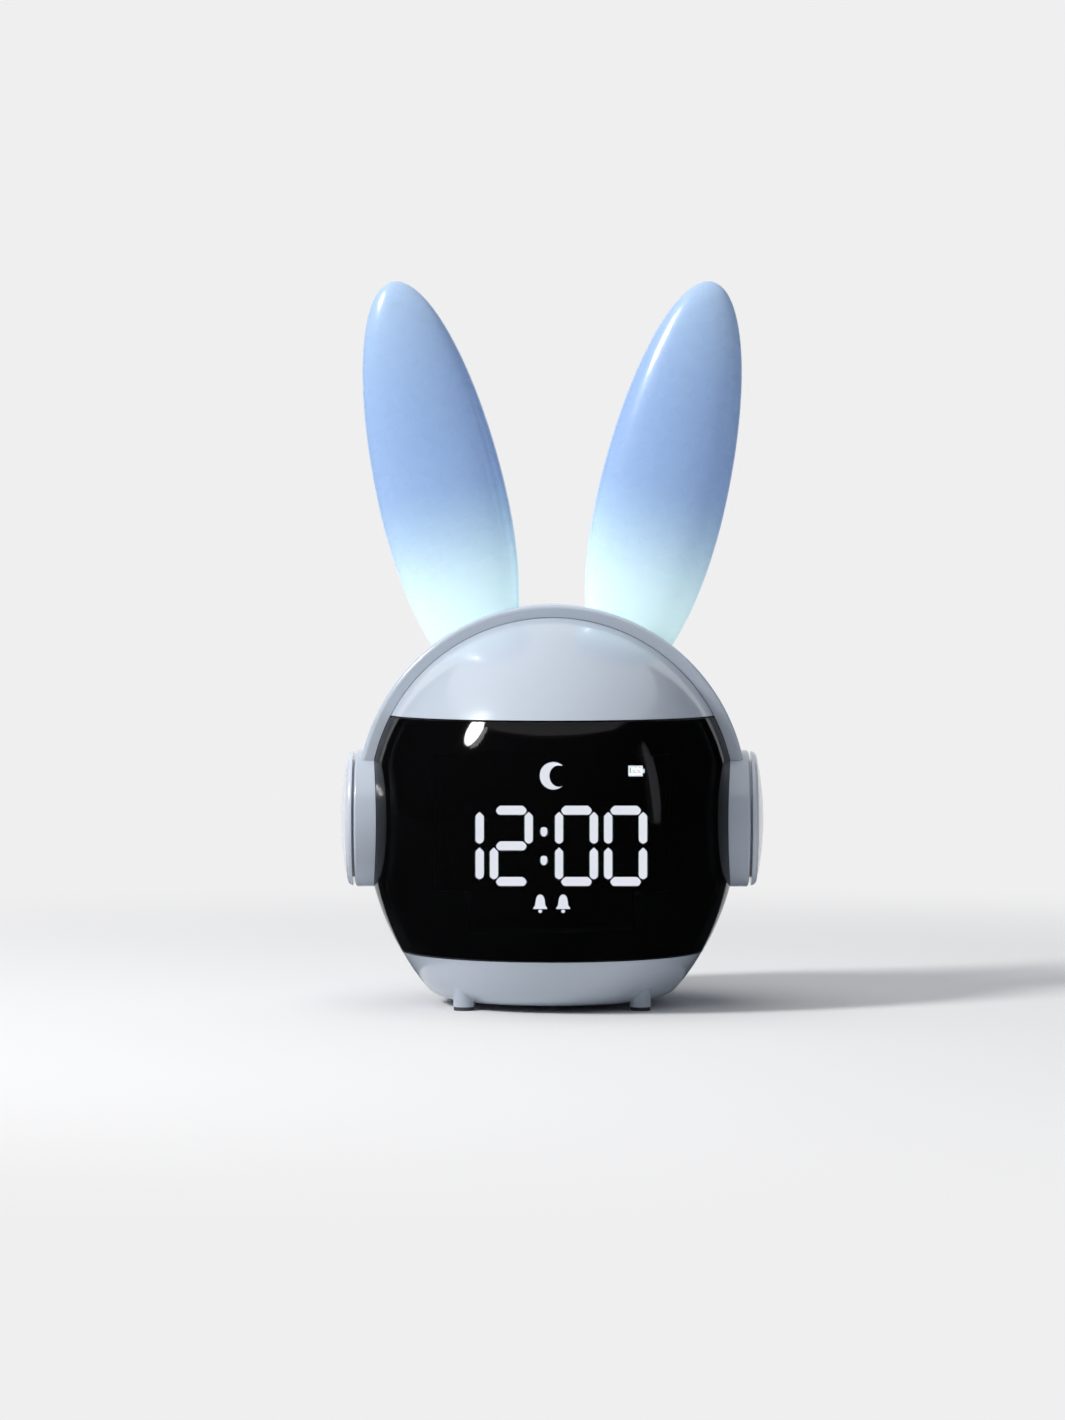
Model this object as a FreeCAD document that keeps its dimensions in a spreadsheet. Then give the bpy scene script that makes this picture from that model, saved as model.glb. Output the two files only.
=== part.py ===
# Kids alarm clock with a night light. A ball-shaped body with a wrap-round display band
# stands on four feet. A headband with two round press pads goes over it, and two hollow
# translucent rabbit ears, lit from below, rise through the headband.
#
# Millimetres. +X is the viewer's right, -Y is the front and +Z is up. The origin is on the
# table, under the centre of the ball.

import FreeCAD, Part
import math
import os

import Sketcher

SIZES = {
    # The ball: a dome, a flatter side that meets it at the shoulder, and a rounded base
    "dome_radius": 46.0,
    "side_radius": 65.0,
    "shoulder_angle": 15.5,
    "base_corner": 8.0,
    "base_height": 1.5,
    "centre_height": 51.2,
    "wall": 2.2,
    "shell_split": 9.5,
    "lip_depth": 2.5,
    "lip_wall": 1.4,
    # The display band and the black frame behind it
    "band_below": 38.0,
    "band_above": 21.0,
    "band_end": 4.0,
    "seam_gap": 0.15,
    "carrier_wall": 1.6,
    "carrier_overlap": 3.0,
    "window_half_width": 29.0,
    "window_above": 12.4,
    "window_below": 21.4,
    "tall_window_half_width": 20.4,
    "tall_window_above": 13.4,
    "tall_window_below": 30.4,
    # The display: a black block with lit segments, on a board
    "display_depth": 14.5,
    "mask_thickness": 5.5,
    "board_thickness": 1.6,
    "digit_height": 19.7,
    "digit_width": 10.8,
    "digit_pitch": 12.0,
    "digit_stroke": 2.3,
    "segment_gap": 0.35,
    "colon_x": -2.0,
    "colon_half_gap": 2.0,
    "digit_centre_drop": 10.05,
    # The headband and the ear cups
    "band_rise": 2.5,
    "band_width": 17.0,
    "band_edge": 1.1,
    "cup_radius": 17.1,
    "cup_bore": 14.9,
    "cup_stand": 2.3,
    "cup_floor": 1.0,
    "cup_edge": 0.6,
    "pad_radius": 16.8,
    "stop_gap": 0.25,
    "pad_crown_radius": 72.0,
    "pad_edge": 1.5,
    "pad_stem": 2.2,
    "pad_stem_length": 11.0,
    "side_board_depth": 10.7,
    "side_board_half": 11.0,
    "side_post_rise": 8.5,
    "side_post_radius": 2.2,
    # The ears, each measured along its own axis from a point in the dome
    "ear_root_x": 18.4,
    "ear_sink": 4.856,
    "ear_tilt": 13.2,
    "ear_widest": 38.0,
    "ear_upper": 56.4,
    "ear_lower": 47.0,
    "ear_half_width": 16.0,
    "ear_half_thickness": 8.2,
    "ear_neck": 5.5,
    "ear_neck_bore": 4.2,
    "ear_neck_depth": 4.5,
    "ear_cavity_length": 70.0,
    "ear_boss": 6.8,
    "ear_boss_end": -1.0,
    "ring_thickness": 2.2,
    # Buttons and their switches
    "press_travel": 0.35,
    "button_radius": 4.0,
    "button_proud": 0.8,
    "button_row_rise": 12.0,
    "button_pitch": 12.0,
    "button_flange": 5.0,
    "guide_depth": 12.6,
    "switch_size": 6.0,
    "switch_height": 3.5,
    "plunger_radius": 1.75,
    "plunger_rise": 0.8,
    # The main board and what stands on it
    "main_board_depth": 19.0,
    "main_board_gap": 17.0,
    "main_board_drop": 3.0,
    "battery_width": 40.0,
    "battery_height": 34.0,
    "battery_thickness": 7.0,
    "foam_thickness": 0.8,
    "speaker_radius": 12.0,
    "speaker_depth": 9.0,
    "speaker_drop": 7.0,
    "grille_hole": 0.9,
    "grille_pitch": 3.3,
    "socket_x": 9.0,
    "socket_drop": 27.0,
    "socket_width": 9.0,
    "socket_height": 3.26,
    "socket_length": 8.0,
    "socket_depth": 5.4,
    "charge_board_thickness": 1.2,
    "slider_x": 9.0,
    "slider_travel": 1.0,
    "knob_gap": 0.5,
    "knob_proud": 1.9,
    # Posts, screws and feet
    "post_radius": 3.8,
    "upper_post_x": 27.0,
    "upper_post_rise": 17.0,
    "lower_post_x": 25.0,
    "lower_post_drop": 27.0,
    "screw_seat": 15.0,
    "screw_radius": 1.25,
    "small_screw_radius": 1.0,
    "foot_x": 21.7,
    "foot_y": 20.5,
    "foot_radius": 2.6,
    "foot_pad": 0.9,
    "foot_plug": 1.4,
    "running_gap": 0.2,
    "fit_gap": 0.05,
    "seat_gap": 0.1,
}

doc = FreeCAD.newDocument("kids_alarm_clock")
sheet = doc.addObject("Spreadsheet::Sheet", "sizes")
nodes = {}


class Size:
    """A number, with the sheet expression that works it out."""

    def __init__(self, number, formula=None):
        self.number = float(number)
        self.formula = formula or repr(float(number))

    def joined(self, sign, other, number):
        return Size(number, "(%s %s %s)" % (self.formula, sign, other.formula))

    def __add__(self, other):
        other = sized(other)
        return self.joined("+", other, self.number + other.number)

    def __sub__(self, other):
        other = sized(other)
        return self.joined("-", other, self.number - other.number)

    def __mul__(self, other):
        other = sized(other)
        return self.joined("*", other, self.number * other.number)

    def __truediv__(self, other):
        other = sized(other)
        return self.joined("/", other, self.number / other.number)

    def __radd__(self, other):
        return sized(other) + self

    def __rsub__(self, other):
        return sized(other) - self

    def __rmul__(self, other):
        return sized(other) * self

    def __neg__(self):
        return 0 - self


def sized(value):
    return value if isinstance(value, Size) else Size(value)


def root(value):
    return Size(math.sqrt(value.number), "sqrt(%s)" % value.formula)


def sine(angle):
    return Size(math.sin(math.radians(angle.number)), "sin(%s)" % angle.formula)


def cosine(angle):
    return Size(math.cos(math.radians(angle.number)), "cos(%s)" % angle.formula)


class Sheet:
    """Each driving size by name, as a Size that reads its cell."""

    def __init__(self, table):
        for row, (name, number) in enumerate(table.items(), start=1):
            sheet.set("A%d" % row, name)
            sheet.set("B%d" % row, str(number))
            sheet.setAlias("B%d" % row, name)
            setattr(self, name, Size(number, "sizes." + name))


d = Sheet(SIZES)
doc.recompute()

UP = (FreeCAD.Vector(1, 0, 0), 0)
BACK = (FreeCAD.Vector(1, 0, 0), -90)
RIGHT = (FreeCAD.Vector(0, 1, 0), 90)
FRONT_PLANE = FreeCAD.Rotation(FreeCAD.Vector(1, 0, 0), 90)
SIDE_PLANE = FreeCAD.Rotation(FreeCAD.Vector(1, 1, 1), 120)


def bind(thing, name, value):
    """Sets one property and ties it to the sheet."""
    value = sized(value)
    if "." not in name:
        setattr(thing, name, value.number)
    if "sizes." in value.formula:
        thing.setExpression(name, value.formula)


def place(thing, x, y, z, turn=UP):
    """Puts a thing at a point, turned about an axis by an angle that may be tied too."""
    x, y, z, angle = sized(x), sized(y), sized(z), sized(turn[1])
    spot = FreeCAD.Vector(x.number, y.number, z.number)
    thing.Placement = FreeCAD.Placement(spot, FreeCAD.Rotation(turn[0], angle.number))
    bind(thing, "Placement.Base.x", x)
    bind(thing, "Placement.Base.y", y)
    bind(thing, "Placement.Base.z", z)
    bind(thing, "Placement.Rotation.Angle", angle)
    return thing


def rod(name, radius, length, x, y, z, turn=UP):
    """A cylinder from a point, along the direction it is turned to."""
    thing = doc.addObject("Part::Cylinder", name)
    bind(thing, "Radius", radius)
    bind(thing, "Height", length)
    return place(thing, x, y, z, turn)


def box(name, x_low, x_high, y_low, y_high, z_low, z_high):
    """A box between two values along each axis."""
    thing = doc.addObject("Part::Box", name)
    bind(thing, "Length", sized(x_high) - x_low)
    bind(thing, "Width", sized(y_high) - y_low)
    bind(thing, "Height", sized(z_high) - z_low)
    return place(thing, x_low, y_low, z_low)


def fuse(name, *parts):
    thing = doc.addObject("Part::MultiFuse", name)
    thing.Shapes = list(parts)
    return thing


def common(name, *parts):
    thing = doc.addObject("Part::MultiCommon", name)
    thing.Shapes = list(parts)
    return thing


def cut(name, base, *tools):
    thing = doc.addObject("Part::Cut", name)
    thing.Base = base
    thing.Tool = tools[0] if len(tools) == 1 else fuse(name + "_tools", *tools)
    return thing


def group(name, *parts):
    thing = doc.addObject("Part::Compound", name)
    thing.Links = list(parts)
    return thing


def mirrored(name, thing):
    """The same piece on the other side of the middle."""
    twin = doc.addObject("Part::Mirroring", name)
    twin.Source = thing
    twin.Normal = FreeCAD.Vector(1, 0, 0)
    return twin


def node(name, thing):
    """Names a finished sub-part."""
    thing.Label = name
    nodes[name] = thing
    return thing


def draw_loop(sketch, steps):
    """Draws a closed loop. A step is the point it ends at and, for an arc, its radius and turn:
    1 bends left and -1 bends right. Each point and radius is tied to the sheet."""
    steps = [tuple(sized(value) for value in step[:3]) + step[3:] for step in steps]
    first = sketch.GeometryCount
    ends = []
    for number, step in enumerate(steps):
        a = FreeCAD.Vector(steps[number - 1][0].number, steps[number - 1][1].number, 0)
        b = FreeCAD.Vector(step[0].number, step[1].number, 0)
        if len(step) == 2:
            sketch.addGeometry(Part.LineSegment(a, b))
            ends.append((1, 2))
            continue
        radius, turn = step[2].number, step[3]
        half = (b - a) * 0.5
        lean = math.sqrt(max(radius**2 - half.Length**2, 0.0)) / half.Length
        centre = a + half + FreeCAD.Vector(-half.y, half.x, 0) * lean * turn
        angles = [math.atan2(p.y - centre.y, p.x - centre.x) for p in (a, b)]
        circle = Part.Circle(centre, FreeCAD.Vector(0, 0, 1), radius)
        sketch.addGeometry(Part.ArcOfCircle(circle, *angles[::turn]))
        ends.append((1, 2)[::turn])
    for number, step in enumerate(steps):
        edge, after = first + number, first + (number + 1) % len(steps)
        begin = ends[(number + 1) % len(steps)][0]
        sketch.addConstraint(Sketcher.Constraint("Coincident", edge, ends[number][1], after, begin))
        for kind, value in (("DistanceX", step[0]), ("DistanceY", step[1])):
            index = sketch.addConstraint(
                Sketcher.Constraint(kind, edge, ends[number][1], value.number)
            )
            bind_constraint(sketch, index, value)
        if len(step) > 2:
            index = sketch.addConstraint(Sketcher.Constraint("Radius", edge, step[2].number))
            bind_constraint(sketch, index, step[2])


def bind_constraint(sketch, index, value):
    if "sizes." in value.formula:
        sketch.setExpression("Constraints[%d]" % index, value.formula)


def draw_circle(sketch, x, y, radius):
    x, y, radius = sized(x), sized(y), sized(radius)
    spot = FreeCAD.Vector(x.number, y.number, 0)
    circle = Part.Circle(spot, FreeCAD.Vector(0, 0, 1), radius.number)
    edge = sketch.addGeometry(circle)
    for kind, value in (("DistanceX", x), ("DistanceY", y)):
        index = sketch.addConstraint(Sketcher.Constraint(kind, edge, 3, value.number))
        bind_constraint(sketch, index, value)
    index = sketch.addConstraint(Sketcher.Constraint("Radius", edge, radius.number))
    bind_constraint(sketch, index, radius)


def turned(name, steps, plane, axis, height=0):
    """A solid turned about an axis through the middle, at a height."""
    sketch = doc.addObject("Sketcher::SketchObject", name + "_outline")
    sketch.Placement = FreeCAD.Placement(FreeCAD.Vector(0, 0, 0), plane)
    draw_loop(sketch, steps)
    thing = doc.addObject("Part::Revolution", name)
    thing.Source = sketch
    thing.Axis = axis
    thing.Base = FreeCAD.Vector(0, 0, sized(height).number)
    bind(thing, "Base.z", height)
    thing.Angle = 360
    thing.Solid = True
    return thing


def body(name):
    return doc.addObject("PartDesign::Body", name)


def body_plane(thing, role):
    return next(f for f in thing.Origin.OriginFeatures if f.Role == role)


def body_sketch(thing, name, role, offset=0):
    """A sketch on one of a body's own planes, moved out along the plane's normal."""
    sketch = thing.newObject("Sketcher::SketchObject", name)
    sketch.AttachmentSupport = (body_plane(thing, role), [""])
    sketch.MapMode = "FlatFace"
    offset = sized(offset)
    sketch.AttachmentOffset = FreeCAD.Placement(
        FreeCAD.Vector(0, 0, offset.number), FreeCAD.Rotation()
    )
    bind(sketch, "AttachmentOffset.Base.z", offset)
    return sketch


def pad(thing, name, sketch, length, reverse=False):
    feature = thing.newObject("PartDesign::Pad", name)
    feature.Profile = sketch
    feature.Reversed = reverse
    bind(feature, "Length", length)
    return feature


def revolve(thing, name, sketch, role):
    feature = thing.newObject("PartDesign::Revolution", name)
    feature.Profile = sketch
    feature.ReferenceAxis = (body_plane(thing, role), [""])
    feature.Angle = 360
    return feature


# Places worked out from the driving sizes
C = d.centre_height
inset = d.side_radius - d.dome_radius
side_x0 = 0 - inset * cosine(d.shoulder_angle)
side_z0 = C - inset * sine(d.shoulder_angle)
half_width = side_x0 + d.side_radius
span = half_width * 2
band_low = C - d.band_below
band_high = C + d.band_above
cup_z = side_z0
display_face = d.dome_radius - d.display_depth
board_back = d.dome_radius - d.main_board_depth
guide_end = d.dome_radius - d.guide_depth
speaker_face = d.dome_radius - d.speaker_depth
socket_mouth = d.dome_radius - d.socket_depth
ear_arm = d.dome_radius - d.ear_sink
ear_rise = root(ear_arm * ear_arm - d.ear_root_x * d.ear_root_x)


def dome_x(z, depth):
    """How far the dome, sunk by a depth, is from the upright axis at a height."""
    reach = d.dome_radius - depth
    return root(reach * reach - (z - C) * (z - C))


def side_x(z, depth):
    """The same for the side, below the shoulder."""
    reach = d.side_radius - depth
    return side_x0 + root(reach * reach - (z - side_z0) * (z - side_z0))


def shoulder(depth):
    reach = d.dome_radius - depth
    return reach * cosine(d.shoulder_angle), C + reach * sine(d.shoulder_angle)


def ball(name, depth):
    """The ball's solid, sunk all over by a depth."""
    depth = sized(depth)
    corner_z = d.base_height + d.base_corner
    arm = d.side_radius - d.base_corner
    corner_x = side_x0 + root(arm * arm - (side_z0 - corner_z) * (side_z0 - corner_z))
    share = (d.side_radius - depth) / arm
    shoulder_x, shoulder_z = shoulder(depth)
    steps = [
        (0, d.base_height + depth),
        (corner_x, d.base_height + depth),
        (
            side_x0 + (corner_x - side_x0) * share,
            side_z0 + (corner_z - side_z0) * share,
            d.base_corner - depth,
            1,
        ),
        (shoulder_x, shoulder_z, d.side_radius - depth, 1),
        (0, C + d.dome_radius - depth, d.dome_radius - depth, 1),
    ]
    return turned(name, steps, FRONT_PLANE, FreeCAD.Vector(0, 0, 1))


def slab(name, y_low, y_high, z_low=None, z_high=None):
    """All that lies between two depths and, if given, two heights."""
    z_low = -span if z_low is None else z_low
    z_high = span * 2 if z_high is None else z_high
    return box(name, -span, span, y_low, y_high, z_low, z_high)


outer_ball = ball("outer_ball", 0)
core_ball = ball("core_ball", d.wall / 2)
inner_ball = ball("inner_ball", d.wall)
wall_ring = cut("wall_ring", outer_ball, inner_ball)

# Where the screw posts stand: across and height
posts = [
    (side * x, z)
    for x, z in (
        (d.upper_post_x, C + d.upper_post_rise),
        (d.lower_post_x, C - d.lower_post_drop),
    )
    for side in (-1, 1)
]
feet = [(x, y) for x in (-d.foot_x, d.foot_x) for y in (-d.foot_y, d.foot_y)]
boss_hole = d.small_screw_radius + d.fit_gap


def along_ear(name, radius, start, end):
    """A rod on the right ear's axis, from and to a distance from the ear's root."""
    x = d.ear_root_x + start * sine(d.ear_tilt)
    z = C + ear_rise + start * cosine(d.ear_tilt)
    turn = (FreeCAD.Vector(0, 1, 0), d.ear_tilt)
    return rod(name, radius, end - start, x, 0, z, turn)


# Front shell: dome, chin and two side strips round the display band. It has the seats that
# the ears pass through, posts for the side switch boards and the two front feet.
boss_end = d.ear_boss_end
side_board_x = half_width - d.side_board_depth
side_plate_x = side_board_x - d.board_thickness
side_screw_zs = [cup_z - d.side_post_rise, cup_z + d.side_post_rise]
ear_boss_rod = along_ear("ear_boss_rod", d.ear_boss, boss_end, sized(12))
ear_boss = common("ear_boss", ear_boss_rod, core_ball)
ear_hole = along_ear("ear_hole", d.ear_neck + d.fit_gap * 3, sized(-6), sized(16))
side_rods = fuse(
    "side_rods",
    *[
        rod("side_rod", d.side_post_radius, 12, side_board_x, 0, z, RIGHT)
        for z in side_screw_zs
    ]
)
side_posts = common("side_posts", side_rods, core_ball)
side_holes = fuse(
    "side_holes",
    rod("stem_hole", d.pad_stem + d.running_gap, 20, half_width - 10, 0, cup_z, RIGHT),
    *[
        rod("side_screw_hole", boss_hole, 6.5, side_board_x, 0, z, RIGHT)
        for z in side_screw_zs
    ]
)
front_wall = cut(
    "front_wall",
    common("front_ring", wall_ring, slab("front_side", -span, d.shell_split)),
    slab("band_gap", -span, -d.band_end, band_low, band_high),
)


def foot_peg(x, y):
    """A body-coloured peg under the rounded edge of the base, with a socket for its rubber tip.
    The peg runs up into the shell's wall, wherever that is."""
    peg = rod("foot_peg", d.foot_radius, C / 2, x, y, d.foot_pad)
    socket_depth = d.foot_plug + 0.2
    socket = rod("foot_socket", d.foot_radius / 2 + d.fit_gap, socket_depth, x, y, d.foot_pad)
    return cut("foot_peg_trimmed", peg, core_ball), socket


front_pegs = [foot_peg(x, y) for x, y in feet if y.number < 0]
rear_pegs = [foot_peg(x, y) for x, y in feet if y.number > 0]
node(
    "front_shell",
    cut(
        "front_shell",
        fuse(
            "front_shell_body",
            front_wall,
            ear_boss,
            mirrored("left_ear_boss", ear_boss),
            side_posts,
            mirrored("left_side_posts", side_posts),
            *[peg for peg, socket in front_pegs]
        ),
        ear_hole,
        mirrored("left_ear_hole", ear_hole),
        side_holes,
        mirrored("left_side_holes", side_holes),
        *[socket for peg, socket in front_pegs]
    ),
)

# Rear shell: a lip that fits inside the front shell, posts for the case screws, bosses for
# the main board, guides for the four buttons, the speaker's seat and its grille.
lip_outside = ball("lip_outside", d.wall + 0.1)
lip_inside = ball("lip_inside", d.wall + 0.1 + d.lip_wall)
lip = common(
    "lip",
    cut("lip_ring", lip_outside, lip_inside),
    slab("lip_reach", d.shell_split - d.lip_depth, d.shell_split + 0.1),
)
lip_root = common(
    "lip_root",
    cut("lip_root_ring", core_ball, lip_inside),
    slab("lip_root_reach", d.shell_split + d.fit_gap, d.shell_split + d.lip_depth),
)
speaker_z = C - d.speaker_drop
button_z = C + d.button_row_rise
button_names = ["mode_button", "set_button", "up_button", "down_button"]
button_xs = [d.button_pitch * (number - 1.5) for number in range(4)]
board_z = C - d.main_board_drop
board_screws = [(24, board_z), (-24, board_z), (0, board_z + 25)]
inside_parts = fuse(
    "inside_parts",
    rod("speaker_seat", d.speaker_radius + 1.6, 20, 0, speaker_face, speaker_z, BACK),
    *[
        rod("button_guide", d.button_flange + 0.4, 20, x, guide_end, button_z, BACK)
        for x in button_xs
    ],
    *[rod("board_boss", 2.8, 25, x, board_back, z, BACK) for x, z in board_screws],
    *[rod("case_post", d.post_radius, 45, x, d.shell_split + d.seat_gap, z, BACK) for x, z in posts]
)
grille = [(0, 0)]
for ring, count in ((1, 6), (2, 12)):
    for number in range(count):
        turn = 2 * math.pi * number / count
        grille.append((ring * math.cos(turn), ring * math.sin(turn)))
holes = []
for x, z in grille:
    hole_z = speaker_z + d.grille_pitch * z
    hole = rod("grille_hole", d.grille_hole, 20, d.grille_pitch * x, speaker_face - 1, hole_z, BACK)
    holes.append(hole)
holes += [
    rod("button_hole", d.button_radius + d.running_gap, 30, x, guide_end - 1, button_z, BACK)
    for x in button_xs
]
for x, z in board_screws:
    holes.append(rod("board_screw_hole", boss_hole, 7, x, board_back, z, BACK))
for x, z in posts:
    holes.append(rod("case_screw_hole", d.screw_radius + 0.35, 60, x, d.shell_split, z, BACK))
    holes.append(rod("case_screw_sink", d.screw_radius + 1.55, 60, x, d.screw_seat, z, BACK))
socket_z = C - d.socket_drop
socket_half = d.socket_width / 2
speaker_bore = rod("speaker_bore", d.speaker_radius - 1, 20, 0, speaker_face - 1, speaker_z, BACK)
slot_half = d.slider_travel + 1.55
holes += [
    box(
        "socket_hole",
        d.socket_x - socket_half - 0.2,
        d.socket_x + socket_half + 0.2,
        guide_end,
        span,
        socket_z - d.socket_height / 2 - 0.2,
        socket_z + d.socket_height / 2 + 0.2,
    ),
    box(
        "slider_slot",
        -d.slider_x - slot_half,
        -d.slider_x + slot_half,
        guide_end,
        span,
        socket_z - 1.3,
        socket_z + 1.3,
    ),
]
# Two ribs under the charging board
rib_top = socket_z - d.socket_height / 2 - d.charge_board_thickness
ribs = [
    box("rib", x - 0.6, x + 0.6, board_back + 2, span, rib_top - 4, rib_top)
    for x in (d.socket_x - 4, d.socket_x + 4)
]
rear_wall = common("rear_wall", wall_ring, slab("rear_side", d.shell_split, span))
node(
    "rear_shell",
    cut(
        "rear_shell",
        fuse(
            "rear_shell_body",
            rear_wall,
            lip,
            lip_root,
            cut(
                "inside_fittings",
                common("inside_trimmed", fuse("inside_all", inside_parts, *ribs), core_ball),
                common("speaker_bore_trimmed", speaker_bore, inner_ball),
            ),
            *[peg for peg, socket in rear_pegs]
        ),
        *(holes + [socket for peg, socket in rear_pegs])
    ),
)

# Display lens: one band of smoked acrylic, flush with the shells, with small edge bevels
bevel = sized(0.3)
lens_low = band_low + d.seam_gap
lens_high = band_high - d.seam_gap
shoulder_out = shoulder(sized(0))
shoulder_in = shoulder(d.wall)
lens = body("display_lens")
lens_outline = body_sketch(lens, "lens_outline", "XZ_Plane")
draw_loop(
    lens_outline,
    [
        (side_x(lens_low, bevel), lens_low),
        (side_x(lens_low + bevel, 0), lens_low + bevel),
        (*shoulder_out, d.side_radius, 1),
        (dome_x(lens_high - bevel, 0), lens_high - bevel, d.dome_radius, 1),
        (dome_x(lens_high, bevel), lens_high),
        (dome_x(lens_high, d.wall), lens_high),
        (*shoulder_in, d.dome_radius - d.wall, -1),
        (side_x(lens_low, d.wall), lens_low, d.side_radius - d.wall, -1),
    ],
)
revolve(lens, "lens_ring", lens_outline, "Z_Axis")
lens_trim = body_sketch(lens, "lens_trim", "XZ_Plane", d.band_end + d.seam_gap)
draw_loop(lens_trim, [(-span, -span), (span, -span), (span, span * 2), (-span, span * 2)])
lens_back = lens.newObject("PartDesign::Pocket", "lens_back")
lens_back.Profile = lens_trim
lens_back.Type = 1
node("display_lens", lens)

# Display carrier: the black frame behind the lens. Its cross-shaped window shows the display,
# its long posts take the case screws and its short ones the display board.
carrier_out = ball("carrier_out", d.wall + 0.1)
carrier_core = ball("carrier_core", d.wall + 0.1 + d.carrier_wall / 2)
carrier_in = ball("carrier_in", d.wall + 0.1 + d.carrier_wall)
carrier_band = common(
    "carrier_band",
    cut("carrier_ring", carrier_out, carrier_in),
    slab(
        "carrier_reach",
        -span,
        1 - d.band_end,
        band_low - d.carrier_overlap,
        band_high + d.carrier_overlap,
    ),
)
mask_back = -display_face + d.mask_thickness
display_screws = [(s * 16.5, C + 17.0) for s in (-1, 1)] + [(s * 15.0, C - 34.0) for s in (-1, 1)]


def cross(name, y_low, y_high, gap):
    """The window's cross shape, drawn in by a gap, between two depths."""
    wide = d.window_half_width - gap
    low, high = C - d.window_below + gap, C + d.window_above - gap
    wide_box = box(name + "_wide", -wide, wide, y_low, y_high, low, high)
    tall = d.tall_window_half_width - gap
    low, high = C - d.tall_window_below + gap, C + d.tall_window_above - gap
    tall_box = box(name + "_tall", -tall, tall, y_low, y_high, low, high)
    return fuse(name, wide_box, tall_box)


case_rods = [
    rod("carrier_post", d.post_radius, d.shell_split - 0.1 + span, x, -span, z, BACK) for x, z in posts
]
short_rods = [
    rod("display_post", 2.2, span + mask_back, x, -span, z, BACK) for x, z in display_screws
]
carrier_rods = fuse("carrier_rods", *(case_rods + short_rods))
carrier_posts = common("carrier_posts", carrier_rods, carrier_core)
carrier_frame = cut("carrier_frame", carrier_band, cross("window", -span, -display_face / 2, 0))
case_hole = d.screw_radius + d.fit_gap
carrier_holes = [
    rod("carrier_screw_hole", case_hole, 9, x, d.shell_split - 8, z, BACK) for x, z in posts
]
carrier_holes += [
    rod("display_screw_hole", boss_hole, 4.5, x, mask_back - 4.5, z, BACK)
    for x, z in display_screws
]
node(
    "display_carrier",
    cut("display_carrier", fuse("carrier_body", carrier_frame, carrier_posts), *carrier_holes),
)

# Display: every segment is a light guide that runs through the black block to the board
glyph_front = -display_face.number
glyph_depth = d.mask_thickness.number


def prism(points, gap=0.0):
    """A flat outline of (across, height) points, as deep as the black block."""
    corners = [FreeCAD.Vector(x, glyph_front, z) for x, z in points]
    face = Part.Face(Part.makePolygon(corners + corners[:1]))
    if gap:
        face = face.makeOffset2D(gap)
    return face.extrude(FreeCAD.Vector(0, glyph_depth, 0))


def segment(x, z, length, upright):
    """A six-sided bar with pointed ends."""
    half, side = length / 2, d.digit_stroke.number / 2
    flat = half - side
    points = [(-half, 0), (-flat, -side), (flat, -side), (half, 0), (flat, side), (-flat, side)]
    if upright:
        points = [(-across, along) for along, across in points]
    return [(x + across, z + along) for across, along in points]


def digit_segments(centre):
    """The seven segments of one digit, by their usual letters."""
    drop = C.number - d.digit_centre_drop.number
    high = (d.digit_height.number - d.digit_stroke.number) / 2
    wide = (d.digit_width.number - d.digit_stroke.number) / 2
    across = 2 * wide - 2 * d.segment_gap.number
    down = high - 2 * d.segment_gap.number
    bars = {"a": high, "g": 0.0, "d": -high}
    uprights = {"b": (wide, 0.5), "c": (wide, -0.5), "e": (-wide, -0.5), "f": (-wide, 0.5)}
    made = {name: segment(centre, drop + rise, across, False) for name, rise in bars.items()}
    for name, (side, rise) in uprights.items():
        made[name] = segment(centre + side, drop + rise * high, down, True)
    return made


def disc(x, z, radius):
    """A round outline for a dot."""
    turns = [2 * math.pi * number / 12 for number in range(12)]
    return [(x + radius * math.cos(turn), z + radius * math.sin(turn)) for turn in turns]


def bell(x, z):
    """A small bell: a round crown that flares to its rim."""
    turns = [math.radians(a) for a in range(0, 181, 30)]
    crown = [(x + 1.1 * math.cos(a), z + 0.7 + 1.2 * math.sin(a)) for a in turns]
    right_rim = [(x + 1.75, z - 1.3), (x + 1.15, z - 0.5)]
    left_rim = [(x - 1.15, z - 0.5), (x - 1.75, z - 1.3)]
    return right_rim + crown + left_rim


def moon(x, z, radius):
    """A crescent: the outer half circle and a flatter arc back."""
    outer = [math.radians(a) for a in range(50, 311, 20)]
    inner = [math.radians(a) for a in range(290, 69, -20)]
    points = [(x + radius * math.cos(a), z + radius * math.sin(a)) for a in outer]
    back_x, back_wide, back_high = x + 0.42 * radius, 0.72 * radius, 0.8 * radius
    back = [(back_x + back_wide * math.cos(a), z + back_high * math.sin(a)) for a in inner]
    return points + back


def glyphs(name, outlines):
    """A node of flat light guides, a hair smaller than their windows."""
    thing = doc.addObject("Part::Feature", name)
    thing.Shape = Part.makeCompound([prism(points) for points in outlines])
    return node(name, thing)


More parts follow.
